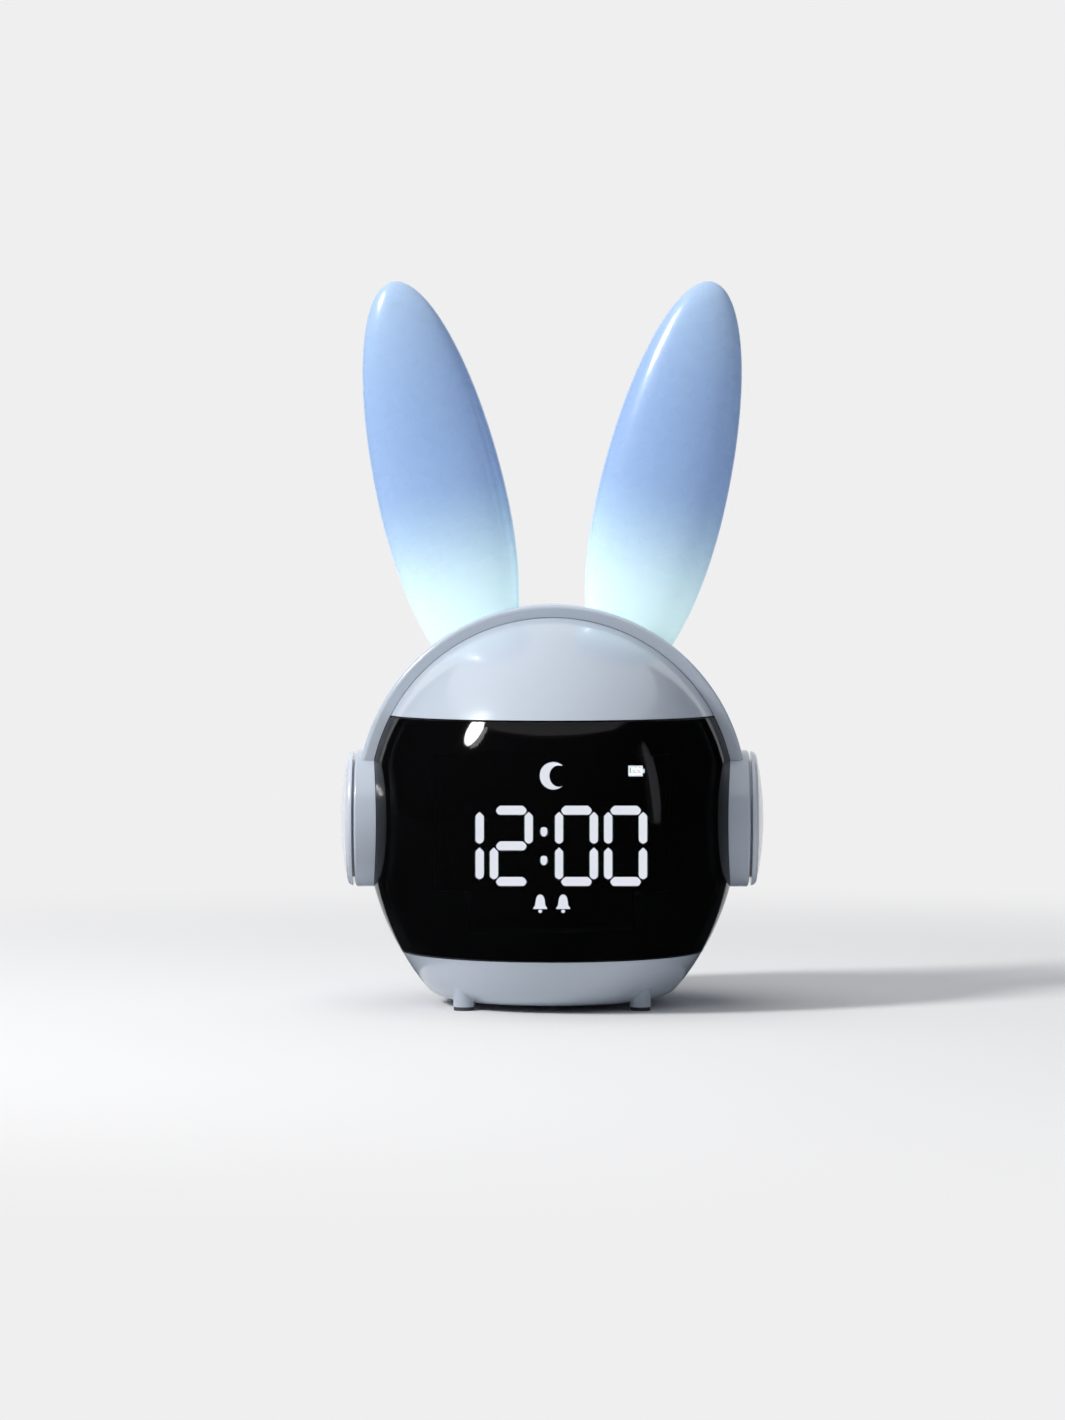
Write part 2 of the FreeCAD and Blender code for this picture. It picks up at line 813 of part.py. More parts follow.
nearest = d.colon_half_gap.number + d.digit_width.number / 2 + 0.55
farthest = nearest + d.digit_pitch.number
centres = [d.colon_x.number + offset for offset in (-farthest, -nearest, nearest, farthest)]
shown = ["bc", "abged", "abcdef", "abcdef"]
lit, unlit = [], []
for centre, letters in zip(centres, shown):
    for letter, outline in digit_segments(centre).items():
        (lit if letter in letters else unlit).append(outline)
drop = C.number - d.digit_centre_drop.number
for rise in (3.5, -3.5):
    lit.append(disc(d.colon_x.number, drop + rise, d.digit_stroke.number / 2))
battery_x, battery_z = 20.6, C.number + 8.3
icons = [moon(0.3, C.number + 7.1, 3.4), bell(-2.9, C.number - 24.0), bell(2.7, C.number - 24.0)]
icons += [disc(x, C.number - 26.0, 0.45) for x in (-2.9, 2.7)]
icons.append(
    [
        (battery_x - 2.0, battery_z - 1.3),
        (battery_x + 1.5, battery_z - 1.3),
        (battery_x + 1.5, battery_z - 0.5),
        (battery_x + 2.0, battery_z - 0.5),
        (battery_x + 2.0, battery_z + 0.5),
        (battery_x + 1.5, battery_z + 0.5),
        (battery_x + 1.5, battery_z + 1.3),
        (battery_x - 2.0, battery_z + 1.3),
    ]
)
glyphs("lit_digits", lit)
glyphs("unlit_segments", unlit)
glyphs("lit_icons", icons)
mask_windows = doc.addObject("Part::Feature", "mask_windows")
mask_windows.Shape = Part.makeCompound([prism(points, d.fit_gap.number) for points in lit + unlit + icons])
mask_cross = cross("mask_cross", -display_face, mask_back, 0.4)
mask_block = common("mask_block", mask_cross, ball("mask_limit", d.wall + 0.4))
node("digit_mask", cut("digit_mask", mask_block, mask_windows))

display_board = body("display_board")
display_outline = body_sketch(display_board, "display_outline", "XZ_Plane", -mask_back)
wide, tall = d.window_half_width - 1.4, d.tall_window_half_width - 0.4
draw_loop(
    display_outline,
    [
        (-tall, C - 37),
        (tall, C - 37),
        (tall, C - d.window_below + 0.4),
        (wide, C - d.window_below + 0.4),
        (wide, C + d.window_above - 0.4),
        (tall, C + d.window_above - 0.4),
        (tall, C + 20),
        (-tall, C + 20),
        (-tall, C + d.window_above - 0.4),
        (-wide, C + d.window_above - 0.4),
        (-wide, C - d.window_below + 0.4),
        (-tall, C - d.window_below + 0.4),
    ],
)
for x, z in display_screws:
    draw_circle(display_outline, x, z, boss_hole)
pad(display_board, "display_plate", display_outline, d.board_thickness, True)
node("display_board", display_board)


def screw(name, radius, head, length, x, y, z, turn, back=1):
    """A pan head screw: its head's seat is at the point, and its shank runs the way it is turned,
    or the other way where back is -1."""
    shank_y = sized(y) if back == 1 else sized(y) - length
    head_y = sized(y) - head if back == 1 else sized(y)
    shank = rod(name + "_shank", radius, length, x, shank_y, z, turn)
    cap = rod(name + "_head", radius * 1.9, head, x, head_y, z, turn)
    return fuse(name, shank, cap)


plate_back = mask_back + d.board_thickness
node(
    "display_screws",
    group(
        "display_screws",
        *[
            screw("display_screw", d.small_screw_radius, 1.3, 5, x, plate_back, z, BACK, -1)
            for x, z in display_screws
        ]
    ),
)
node(
    "case_screws",
    group(
        "case_screws",
        *[screw("case_screw", d.screw_radius, 2.0, 12, x, d.screw_seat, z, BACK, -1) for x, z in posts]
    ),
)

# Main board and what is on it
board_front = board_back - d.board_thickness
main_board = body("main_board")
main_outline = body_sketch(main_board, "main_outline", "XZ_Plane", -board_front)
draw_circle(main_outline, 0, board_z, d.dome_radius - d.main_board_gap)
for x, z in board_screws:
    draw_circle(main_outline, x, z, boss_hole)
pad(main_board, "main_plate", main_outline, d.board_thickness, True)
node("main_board", main_board)
node(
    "board_screws",
    group(
        "board_screws",
        *[
            screw("board_screw", d.small_screw_radius, 1.3, 6, x, board_front, z, BACK)
            for x, z in board_screws
        ]
    ),
)
# Each chip: across from and to, height from and to, and how far it stands out
chips = [
    (-15, -9, -2, 4, 1.2),
    (-19, -15, -13, -8, 1.4),
    (12, 17, -15, -10, 2.2),
    (-4, 3, 3.5, 5.5, 1.4),
    (16, 20, -1, 2, 1.0),
]
node(
    "board_chips",
    group(
        "board_chips",
        *[
            box("chip", x1, x2, board_back, board_back + rise, C + z1, C + z2)
            for x1, x2, z1, z2, rise in chips
        ]
    ),
)
foam_front = board_front - d.foam_thickness
battery_front = foam_front - d.battery_thickness
cell_half = d.battery_width / 2
cell_low = C - 20
cell_high = cell_low + d.battery_height
foam_half = cell_half - 2
foam_low, foam_high = cell_low + 2, cell_high - 2
foam = box("foam", -foam_half, foam_half, foam_front, board_front, foam_low, foam_high)
node("battery_foam", foam)
cell = box("cell", -cell_half, cell_half, battery_front, foam_front, cell_low, cell_high)
rounded_cell = doc.addObject("Part::Fillet", "rounded_cell")
rounded_cell.Base = cell
rounded_cell.Edges = [(edge, 2.5, 2.5) for edge in (2, 4, 6, 8)]
node("battery", rounded_cell)

# Speaker: frame, cone and magnet, facing back through the grille
frame_steps = [
    (9.2, speaker_face),
    (9.2, speaker_face - 2.6),
    (2.5, speaker_face - 2.6),
    (2.5, speaker_face - 3.5),
    (d.speaker_radius - 1.5, speaker_face - 3.5),
    (d.speaker_radius - 1.5, speaker_face - 1.2),
    (d.speaker_radius, speaker_face - 1.2),
    (d.speaker_radius, speaker_face),
]
cone_steps = [
    (0, speaker_face - 1.8),
    (3, speaker_face - 1.8),
    (8.2, speaker_face - 0.6),
    (9.1, speaker_face - 0.6),
    (9.1, speaker_face - 0.2),
    (8.0, speaker_face - 0.2),
    (3.2, speaker_face - 1.3),
    (0, speaker_face - 0.8),
]


def speaker_piece(name, steps):
    """A round piece on the speaker's axis, drawn as distance from the axis and depth."""
    piece = body(name)
    place(piece, 0, 0, speaker_z)
    sketch = body_sketch(piece, name + "_outline", "XY_Plane")
    draw_loop(sketch, steps)
    revolve(piece, name + "_turned", sketch, "Y_Axis")
    return node(name, piece)


speaker_piece("speaker_frame", frame_steps)
speaker_piece("speaker_cone", cone_steps)
node("speaker_magnet", rod("speaker_magnet", 6.5, 2.5, 0, speaker_face - 6.0, speaker_z, BACK))

# Charging board and socket
socket_back = socket_mouth - d.socket_length
socket_low = socket_z - d.socket_height / 2
socket_top = socket_z + d.socket_height / 2
socket_left, socket_right = d.socket_x - socket_half, d.socket_x + socket_half
charge_left, charge_right = socket_left - 0.7, socket_right + 0.7
charge_front, charge_back = board_back + 1, socket_back + 3.7
charge_plate = box(
    "charge_plate", charge_left, charge_right, charge_front, charge_back, rib_top, socket_low
)
node("charge_board", charge_plate)
socket_can = box(
    "socket_can", socket_left, socket_right, socket_back, socket_mouth, socket_low, socket_top
)
socket_can_round = doc.addObject("Part::Fillet", "socket_can_round")
socket_can_round.Base = socket_can
socket_can_round.Edges = [(edge, 1.3, 1.3) for edge in (9, 10, 11, 12)]
can_wall = sized(0.3)
socket_void = box(
    "socket_void",
    socket_left + can_wall,
    socket_right - can_wall,
    socket_back + 1.5,
    span,
    socket_low + can_wall,
    socket_top - can_wall,
)
socket_tongue = box(
    "socket_tongue",
    d.socket_x - 3.3,
    d.socket_x + 3.3,
    socket_back + 1,
    socket_mouth - 0.8,
    socket_z - 0.35,
    socket_z + 0.35,
)
socket_shell = cut("socket_shell", socket_can_round, socket_void)
node("usb_socket", fuse("usb_socket", socket_shell, socket_tongue))

# Key switches: a square body with a bore, and a plunger that moves with its button
switch_half = d.switch_size / 2
switch_front = board_back + d.switch_height
switch_bore = d.plunger_radius + 0.1
plunger_top = switch_front + d.plunger_rise


def key_switch(name, x):
    left, right = x - switch_half, x + switch_half
    low, high = button_z - switch_half, button_z + switch_half
    case = box(name + "_case", left, right, board_back, switch_front, low, high)
    bore = rod(name + "_bore", switch_bore, 5, x, switch_front - 1.6, button_z, BACK)
    return cut(name, case, bore)


node("key_switches", group("key_switches", *[key_switch("key_switch", x) for x in button_xs]))
button_limit = ball("button_limit", -d.button_proud)
cap_back = guide_end - 1.1
stem_length = cap_back + 0.1 - plunger_top
plunger_length = d.plunger_rise + 1
for name, x in zip(button_names, button_xs):
    cap_rod = rod(name + "_rod", d.button_radius, 30, x, cap_back, button_z, BACK)
    cap = common(name + "_cap", cap_rod, button_limit)
    flange = rod(name + "_flange", d.button_flange, 0.9, x, cap_back, button_z, BACK)
    stem = rod(name + "_stem", 1.4, stem_length, x, plunger_top, button_z, BACK)
    node(name, fuse(name, cap, flange, stem))
    plunger_back = plunger_top - plunger_length
    plunger = rod(
        name + "_plunger", d.plunger_radius, plunger_length, x, plunger_back, button_z, BACK
    )
    node(name.replace("button", "plunger"), plunger)

# Power switch: its body on the main board, and the knob with its stem through the shell
slide_front = board_back + 3.7


def about_slider(name, half_x, y_low, y_high, half_z):
    """A box round the power switch's own axis."""
    left, right = -d.slider_x - half_x, -d.slider_x + half_x
    return box(name, left, right, y_low, y_high, socket_z - half_z, socket_z + half_z)


slide_case = about_slider("slide_case", 4.3, board_back, slide_front, 1.9)
slide_slot = about_slider("slide_slot", 2.2, slide_front - 1.5, span, 0.9)
node("slide_switch", cut("slide_switch", slide_case, slide_slot))
knob_blank = about_slider("knob_blank", 3.2, guide_end, span, 2.6)
knob_plate = cut("knob_plate", knob_blank, ball("knob_under", -d.knob_gap))
knob_stem = about_slider("knob_stem", 1.2, slide_front + 0.4, span, 1.0)
knob_lever = about_slider("knob_lever", 0.9, slide_front - 1.2, slide_front + 0.5, 0.7)
knob_top = ball("knob_top", -d.knob_proud)
knob_body = common("knob_body", fuse("knob_blanks", knob_plate, knob_stem), knob_top)
node("power_knob", fuse("power_knob", knob_body, knob_lever))

# Headband: a ring over the dome, seated on it, that ends on the ear cups
ring_out = d.dome_radius + d.band_rise
ring_half = d.band_width / 2
ring_in = d.dome_radius - d.band_rise
headband_ring = turned(
    "headband_ring",
    [
        (-ring_half, C + ring_in),
        (ring_half, C + ring_in),
        (ring_half, C + ring_out - d.band_edge),
        (ring_half - d.band_edge, C + ring_out, d.band_edge, 1),
        (d.band_edge - ring_half, C + ring_out),
        (-ring_half, C + ring_out - d.band_edge, d.band_edge, 1),
    ],
    SIDE_PLANE,
    FreeCAD.Vector(0, 1, 0),
    C,
)
neck_hole = along_ear("neck_hole", d.ear_neck + d.fit_gap * 3, sized(2), sized(16))
node(
    "headband",
    cut(
        "headband",
        headband_ring,
        ball("headband_seat", -d.seat_gap),
        slab("below_band", -span, span, -span, cup_z),
        rod("cup_room", d.cup_radius + d.seat_gap, span * 2, -span, 0, cup_z, RIGHT),
        neck_hole,
        mirrored("left_neck_hole", neck_hole),
    ),
)

# Ear cups: a ring with a floor, seated on the ball's side
cup_face = half_width + d.cup_stand
floor_x = half_width + d.fit_gap + d.cup_floor
stem_room = d.pad_stem + d.running_gap
cup_blank = turned(
    "cup_blank",
    [
        (half_width - 9, cup_z + stem_room),
        (floor_x, cup_z + stem_room),
        (floor_x, cup_z + d.cup_bore),
        (cup_face - 0.3, cup_z + d.cup_bore),
        (cup_face, cup_z + d.cup_bore + 0.3),
        (cup_face, cup_z + d.cup_radius - d.cup_edge),
        (cup_face - d.cup_edge, cup_z + d.cup_radius, d.cup_edge, 1),
        (half_width - 9, cup_z + d.cup_radius),
    ],
    FRONT_PLANE,
    FreeCAD.Vector(1, 0, 0),
    cup_z,
)
cup = node("right_cup", cut("right_cup", cup_blank, ball("cup_seat", -d.fit_gap)))
node("left_cup", mirrored("left_cup", cup))

# Press pads: a crowned cap, a skirt that slides in the cup, and a stem to the side switch
pad_gap = d.press_travel + d.stop_gap
rim_x = cup_face + pad_gap
crown_arm = d.pad_crown_radius - d.pad_edge
edge_r = d.pad_radius - d.pad_edge
crown_x = rim_x + d.pad_crown_radius - root(crown_arm * crown_arm - edge_r * edge_r)
share = d.pad_crown_radius / crown_arm
crown_x0 = crown_x - d.pad_crown_radius
skirt_r = d.cup_bore - d.running_gap
skirt_x = floor_x + pad_gap
stem_x = rim_x - d.pad_stem_length
right_pad = body("right_pad")
place(right_pad, 0, 0, cup_z)
pad_outline = body_sketch(right_pad, "pad_outline", "XZ_Plane")
draw_loop(
    pad_outline,
    [
        (stem_x, 0),
        (stem_x, d.pad_stem),
        (rim_x + 0.7, d.pad_stem),
        (rim_x + 0.7, skirt_r - 1.6),
        (skirt_x, skirt_r - 1.6),
        (skirt_x, skirt_r),
        (rim_x, skirt_r),
        (rim_x, d.pad_radius),
        (crown_x0 + (rim_x - crown_x0) * share, edge_r * share, d.pad_edge, -1),
        (crown_x, 0, d.pad_crown_radius, -1),
    ],
)
revolve(right_pad, "pad_turned", pad_outline, "X_Axis")
node("right_pad", right_pad)
node("left_pad", mirrored("left_pad", right_pad))

# Side switches: a small board on two posts, a key switch and its plunger
side_switch_top = stem_x - d.plunger_rise
side_plate = body("right_switch_board")
plate_sketch = body_sketch(side_plate, "side_plate_outline", "YZ_Plane", side_plate_x)
plate_low, plate_high = cup_z - d.side_board_half, cup_z + d.side_board_half
draw_loop(plate_sketch, [(-4.5, plate_low), (4.5, plate_low), (4.5, plate_high), (-4.5, plate_high)])
for z in side_screw_zs:
    draw_circle(plate_sketch, 0, z, boss_hole)
pad(side_plate, "side_plate_pad", plate_sketch, d.board_thickness)
node("right_switch_board", side_plate)
node("left_switch_board", mirrored("left_switch_board", side_plate))
side_case = box(
    "side_case",
    side_board_x,
    side_switch_top,
    -switch_half,
    switch_half,
    cup_z - switch_half,
    cup_z + switch_half,
)
side_bore = rod("side_bore", switch_bore, 5, side_switch_top - 1.6, 0, cup_z, RIGHT)
side_switch = cut("side_switch", side_case, side_bore)
side_switch_pair = [side_switch, mirrored("left_side_switch", side_switch)]
node("side_switches", group("side_switches", *side_switch_pair))
plunger_x = side_switch_top - 1
side_plunger = rod(
    "right_plunger", d.plunger_radius, plunger_length, plunger_x, 0, cup_z, RIGHT
)
node("right_plunger", side_plunger)
node("left_plunger", mirrored("left_plunger", side_plunger))
side_screws = []
for z in side_screw_zs:
    shank = rod("side_shank", d.small_screw_radius, 6, side_plate_x, 0, z, RIGHT)
    head = rod("side_head", d.small_screw_radius * 1.9, 1.3, side_plate_x - 1.3, 0, z, RIGHT)
    side_screws.append(fuse("side_screw", shank, head))
side_screw_pair = group("side_screw_pair", *side_screws)
left_side_screws = mirrored("left_side_screws", side_screw_pair)
node("side_screws", group("side_screws", side_screw_pair, left_side_screws))

# Ears: two half ellipsoids with a neck through the headband, hollow for the light
ear_x = d.ear_root_x + d.ear_widest * sine(d.ear_tilt)
ear_z = C + ear_rise + d.ear_widest * cosine(d.ear_tilt)


def half_egg(name, length, low, high):
    """Half an ellipsoid at the ear's widest place, on the ear's axis."""
    thing = doc.addObject("Part::Ellipsoid", name)
    bind(thing, "Radius1", length)
    bind(thing, "Radius2", d.ear_half_width)
    bind(thing, "Radius3", d.ear_half_thickness)
    thing.Angle1 = low
    thing.Angle2 = high
    return place(thing, ear_x, 0, ear_z, (FreeCAD.Vector(0, 1, 0), d.ear_tilt))


ear_top = half_egg("ear_top", d.ear_upper, 0, 90)
ear_form = fuse("ear_form", ear_top, half_egg("ear_foot", d.ear_lower, -90, 0))
band_surface = rod("band_surface", ring_out + d.fit_gap, span * 2, 0, -span, C, BACK)
neck_end = 0 - d.ear_neck_depth
cavity = doc.addObject("Part::Cone", "ear_cavity")
bind(cavity, "Radius1", d.ear_neck_bore + 1.6)
cavity.Radius2 = 2
bind(cavity, "Height", d.ear_cavity_length)
cavity_start = sized(10)
place(
    cavity,
    d.ear_root_x + cavity_start * sine(d.ear_tilt),
    0,
    C + ear_rise + cavity_start * cosine(d.ear_tilt),
    (FreeCAD.Vector(0, 1, 0), d.ear_tilt),
)
ear_outside = cut("ear_outside", ear_form, band_surface)
ear_neck = along_ear("ear_neck", d.ear_neck, neck_end, sized(12))
ear_bore = along_ear("ear_bore", d.ear_neck_bore, neck_end - 1, sized(11))
right_ear = cut("right_ear", fuse("ear_blank", ear_outside, ear_neck), ear_bore, cavity)
node("right_ear", right_ear)
node("left_ear", mirrored("left_ear", right_ear))
ring_start = boss_end - d.ring_thickness
ear_ring = cut(
    "ear_ring",
    along_ear("ear_ring_out", d.ear_neck + 1.9, ring_start, boss_end),
    along_ear("ear_ring_in", d.ear_neck + 0.05, ring_start - 1, boss_end + 1),
)
node("ear_rings", group("ear_rings", ear_ring, mirrored("left_ear_ring", ear_ring)))
light_board = along_ear("ear_light_board", d.ear_neck + 1, neck_end - 1.2, neck_end)
left_light_board = mirrored("left_light_board", light_board)
node("ear_light_boards", group("ear_light_boards", light_board, left_light_board))
led_base = along_ear("ear_led_base", sized(2.8), neck_end, neck_end + 1)
led_lamp = along_ear("ear_led_lamp", sized(2.5), neck_end + 1, neck_end + 6.5)
led = fuse("ear_led", led_base, led_lamp)
node("ear_lamps", group("ear_lamps", led, mirrored("left_ear_led", led)))

# Ribbon cable from the display board to the main board, and its two connectors
cable_z = C - 28
connector_depth = 3.0
cable_front = plate_back + connector_depth
cable_back = board_front - connector_depth
node(
    "ribbon_connectors",
    group(
        "ribbon_connectors",
        box("front_connector", -7, 7, plate_back, cable_front, cable_z - 2, cable_z + 2),
        box("back_connector", -7, 7, cable_back, board_front, cable_z - 2, cable_z + 2),
    ),
)
cable_sag = sized(90)
ribbon = body("ribbon_cable")
ribbon_outline = body_sketch(ribbon, "ribbon_outline", "YZ_Plane", -6)
draw_loop(
    ribbon_outline,
    [
        (cable_front, cable_z - 0.2),
        (cable_back, cable_z - 0.2, cable_sag, 1),
        (cable_back, cable_z + 0.2),
        (cable_front, cable_z + 0.2, cable_sag, -1),
    ],
)
pad(ribbon, "ribbon_width", ribbon_outline, 12)
node("ribbon_cable", ribbon)

# Rubber tips: each stands on the table and plugs into its foot
node(
    "rubber_feet",
    group(
        "rubber_feet",
        *[
            fuse(
                "rubber_tip",
                rod("tip_pad", d.foot_radius - 0.1, d.foot_pad, x, y, 0),
                rod("tip_plug", d.foot_radius / 2, d.foot_plug + d.foot_pad, x, y, 0),
            )
            for x, y in feet
        ]
    ),
)

doc.recompute()
for thing in doc.Objects:
    if "Invalid" in thing.State or "Error" in thing.State:
        raise RuntimeError("%s was not made" % thing.Name)
for name, thing in nodes.items():
    if thing.Shape.isNull() or not thing.Shape.isValid():
        raise RuntimeError("%s has no good shape" % name)

os.makedirs("parts", exist_ok=True)
for name, thing in nodes.items():
    thing.Shape.exportStep("parts/%s.step" % name)
    print("%-20s %2d solids %9.1f mm3" % (name, len(thing.Shape.Solids), thing.Shape.Volume))
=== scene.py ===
# Looks for the kids alarm clock with a night light. Metres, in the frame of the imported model:
# +X is the viewer's right, -Y is the front, +Z is up, and the origin is under the ball.

import math

import bmesh
import bpy
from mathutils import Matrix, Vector
from mathutils.geometry import tessellate_polygon


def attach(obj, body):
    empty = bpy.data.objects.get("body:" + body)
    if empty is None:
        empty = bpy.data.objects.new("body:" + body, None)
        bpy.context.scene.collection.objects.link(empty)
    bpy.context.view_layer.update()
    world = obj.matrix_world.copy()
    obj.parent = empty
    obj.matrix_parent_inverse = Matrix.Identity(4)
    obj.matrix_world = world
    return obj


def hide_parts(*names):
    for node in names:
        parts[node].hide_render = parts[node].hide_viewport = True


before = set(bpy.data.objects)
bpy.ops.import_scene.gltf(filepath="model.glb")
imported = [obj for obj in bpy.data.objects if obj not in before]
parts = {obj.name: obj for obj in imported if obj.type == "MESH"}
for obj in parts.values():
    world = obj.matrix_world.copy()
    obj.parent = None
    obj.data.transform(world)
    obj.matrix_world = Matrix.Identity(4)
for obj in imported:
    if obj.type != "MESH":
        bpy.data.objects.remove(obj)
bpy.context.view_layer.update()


# Front and rear shell, headband and ear cups: one glossy ABS, moulded in light periwinkle.
# The two half shells snap together at a lip and are screwed from the back. The band and the
# cups are bonded on.
class Field:
    """A shader socket's value. Arithmetic on it adds Math nodes to its graph."""

    def __init__(self, graph, socket):
        self.graph = graph
        self.socket = socket

    def worked(self, operation, *values):
        """The result of a Math node on these values."""
        return self.graph.node(
            "ShaderNodeMath", {"operation": operation}, dict(enumerate(values))
        )

    def sibling(self, output):
        """Another output of the node that this value comes from."""
        return Field(self.graph, self.socket.node.outputs[output])

    def __add__(self, other):
        return self.worked("ADD", self, other)

    def __sub__(self, other):
        return self.worked("SUBTRACT", self, other)

    def __mul__(self, other):
        return self.worked("MULTIPLY", self, other)

    def __truediv__(self, other):
        return self.worked("DIVIDE", self, other)

    def __radd__(self, other):
        return self.worked("ADD", other, self)

    def __rsub__(self, other):
        return self.worked("SUBTRACT", other, self)

    def __rmul__(self, other):
        return self.worked("MULTIPLY", other, self)


class Graph:
    """A node tree that is written as expressions."""

    def __init__(self, tree):
        self.tree = tree

    def node(self, kind, settings=None, sockets=None, out=0):
        """Adds a node: its settings first, then its sockets' values or links. A ramp's stops
        run smoothly into each other."""
        made = self.tree.nodes.new(kind)
        for name, value in (settings or {}).items():
            if name == "stops":
                ramp = made.color_ramp
                ramp.interpolation = "B_SPLINE"
                ramp.elements[0].position, ramp.elements[0].color = value[0]
                ramp.elements[1].position, ramp.elements[1].color = value[-1]
                for spot, colour in value[1:-1]:
                    ramp.elements.new(spot).color = colour
            else:
                setattr(made, name, value)
        for name, value in (sockets or {}).items():
            self.join(value, made.inputs[name])
        return Field(self, made.outputs[out]) if made.outputs else None

    def join(self, value, socket):
        """Links a field to a socket, or sets the socket to a plain value."""
        if isinstance(value, Field):
            self.tree.links.new(value.socket, socket)
        else:
            socket.default_value = value

    def place(self):
        """Where a point is on the object, in metres."""
        return self.node("ShaderNodeTexCoord", out="Object")

    def noise(self, scale, detail=3.0, roughness=0.5):
        """Soft mottling, from 0 to 1."""
        sockets = {"Scale": scale, "Detail": detail, "Roughness": roughness}
        sockets["Vector"] = self.place()
        return self.node("ShaderNodeTexNoise", None, sockets)

    def blend(self, share, first, second):
        """The second colour over the first, by a share."""
        settings = {"data_type": "RGBA"}
        return self.node("ShaderNodeMix", settings, {0: share, 6: first, 7: second}, 2)

    def bump(self, height, distance, strength):
        """A normal that follows a height, with the relief's full depth in metres."""
        sockets = {"Height": height, "Distance": distance, "Strength": strength}
        return self.node("ShaderNodeBump", None, sockets)


def paint(red, green, blue):
    """A colour given as it looks, from 0 to 255 a channel, for a shader socket."""
    seen = [level / 255 for level in (red, green, blue)]
    linear = [c / 12.92 if c <= 0.04045 else ((c + 0.055) / 1.055) ** 2.4 for c in seen]
    return (*linear, 1.0)


class Finish(Graph):
    """One of the clock's materials: a Principled surface, with even values set on its
    sockets."""

    def __init__(self, name, **even):
        self.material = bpy.data.materials.new(name)
        self.material.use_nodes = True
        super().__init__(self.material.node_tree)
        self.surface = self.tree.nodes["Principled BSDF"]
        for socket, value in even.items():
            self.surface.inputs[socket.replace("_", " ")].default_value = value

    def feed(self, **fields):
        """Gives sockets of the surface what changes over it."""
        for socket, value in fields.items():
            self.join(value, self.surface.inputs[socket.replace("_", " ")])
        return self


def dress(names, finish):
    """Gives CAD nodes their finish."""
    for name in names:
        piece = parts[name]
        if not piece.material_slots:
            piece.data.materials.append(finish.material)
        for surface in piece.material_slots:
            surface.material = finish.material


def glossy_plastic(name, colour, shade, gloss):
    """ABS from a polished mould: a faint orange peel, soft flow marks in the colour, and the
    haze and hairlines of handling."""
    made = Finish(name, Coat_Roughness=0.05, IOR=1.48)
    flow = made.noise(38.0, 4.0, 0.6)
    haze = made.noise(240.0, 5.0, 0.65)
    scuffs = made.node(
        "ShaderNodeTexVoronoi",
        {"feature": "DISTANCE_TO_EDGE"},
        {"Vector": made.place(), "Scale": 130.0},
    )
    hairlines = made.node(
        "ShaderNodeMapRange",
        None,
        {"Value": scuffs, "From Min": 0.0, "From Max": 0.012, "To Min": 1.0, "To Max": 0.0},
    )
    peel = made.noise(420.0, 2.0, 0.4)
    return made.feed(
        Base_Color=made.blend(flow, colour, shade),
        Roughness=gloss + 0.10 * haze + 0.06 * (hairlines * haze),
        Coat_Weight=0.45 + 0.2 * flow,
        Normal=made.bump(peel, 0.00006, 0.35),
    )


shell_finish = glossy_plastic(
    "periwinkle_abs", paint(190, 199, 212), paint(184, 194, 208), 0.17
)
dress(
    ["front_shell", "rear_shell", "headband", "right_cup", "left_cup"],
    shell_finish,
)

# Press pads and rear buttons: the same ABS a shade lighter. Each slides in its ring or guide
# and is sprung by the key switch behind it.
pad_finish = glossy_plastic("pale_abs", paint(204, 210, 221), paint(198, 205, 218), 0.2)
dress(
    [
        "left_pad",
        "right_pad",
        "mode_button",
        "set_button",
        "up_button",
        "down_button",
    ],
    pad_finish,
)

# Power switch knob: dark ABS with a spark-eroded grain, clipped through the rear shell onto
# the lever of the slide switch.
knob_finish = Finish("dark_grained_plastic", IOR=1.48)
knob_grain = knob_finish.noise(2600.0, 2.0, 0.7)
knob_cloud = knob_finish.noise(300.0)
knob_finish.feed(
    Base_Color=knob_finish.blend(knob_cloud, paint(70, 74, 84), paint(82, 86, 96)),
    Roughness=0.42 + 0.2 * knob_grain,
    Normal=knob_finish.bump(knob_grain, 0.00008, 0.8),
)
dress(["power_knob"], knob_finish)

# Display lens: one wrap-round band of smoked acrylic, 2.2 mm thick and flush with the shells,
# held by the black frame behind it. It hides all but the lit segments.
lens_finish = Finish(
    "smoked_acrylic", IOR=1.42, Alpha=0.66, Specular_IOR_Level=0.45
)
lens_dust = lens_finish.noise(900.0, 4.0, 0.7)
lens_cloud = lens_finish.noise(30.0, 2.0)
lens_finish.feed(
    Base_Color=lens_finish.blend(lens_cloud, paint(7, 7, 8), paint(10, 10, 12)),
    Roughness=0.035 + 0.035 * lens_dust,
    Normal=lens_finish.bump(lens_cloud, 0.00004, 0.25),
)
dress(["display_lens"], lens_finish)

# Inner frame and segment block: matt black ABS. The frame is screwed between the two shells
# and the block stands on the display board.
inner_finish = Finish("matt_black_abs", IOR=1.48, Specular_IOR_Level=0.3)
inner_grain = inner_finish.noise(1800.0, 2.0, 0.6)
inner_finish.feed(
    Base_Color=inner_finish.blend(inner_grain, paint(7, 7, 8), paint(12, 12, 13)),
    Roughness=0.62 + 0.2 * inner_grain,
    Normal=inner_finish.bump(inner_grain, 0.00005, 0.5),
)
dress(["display_carrier", "digit_mask"], inner_finish)

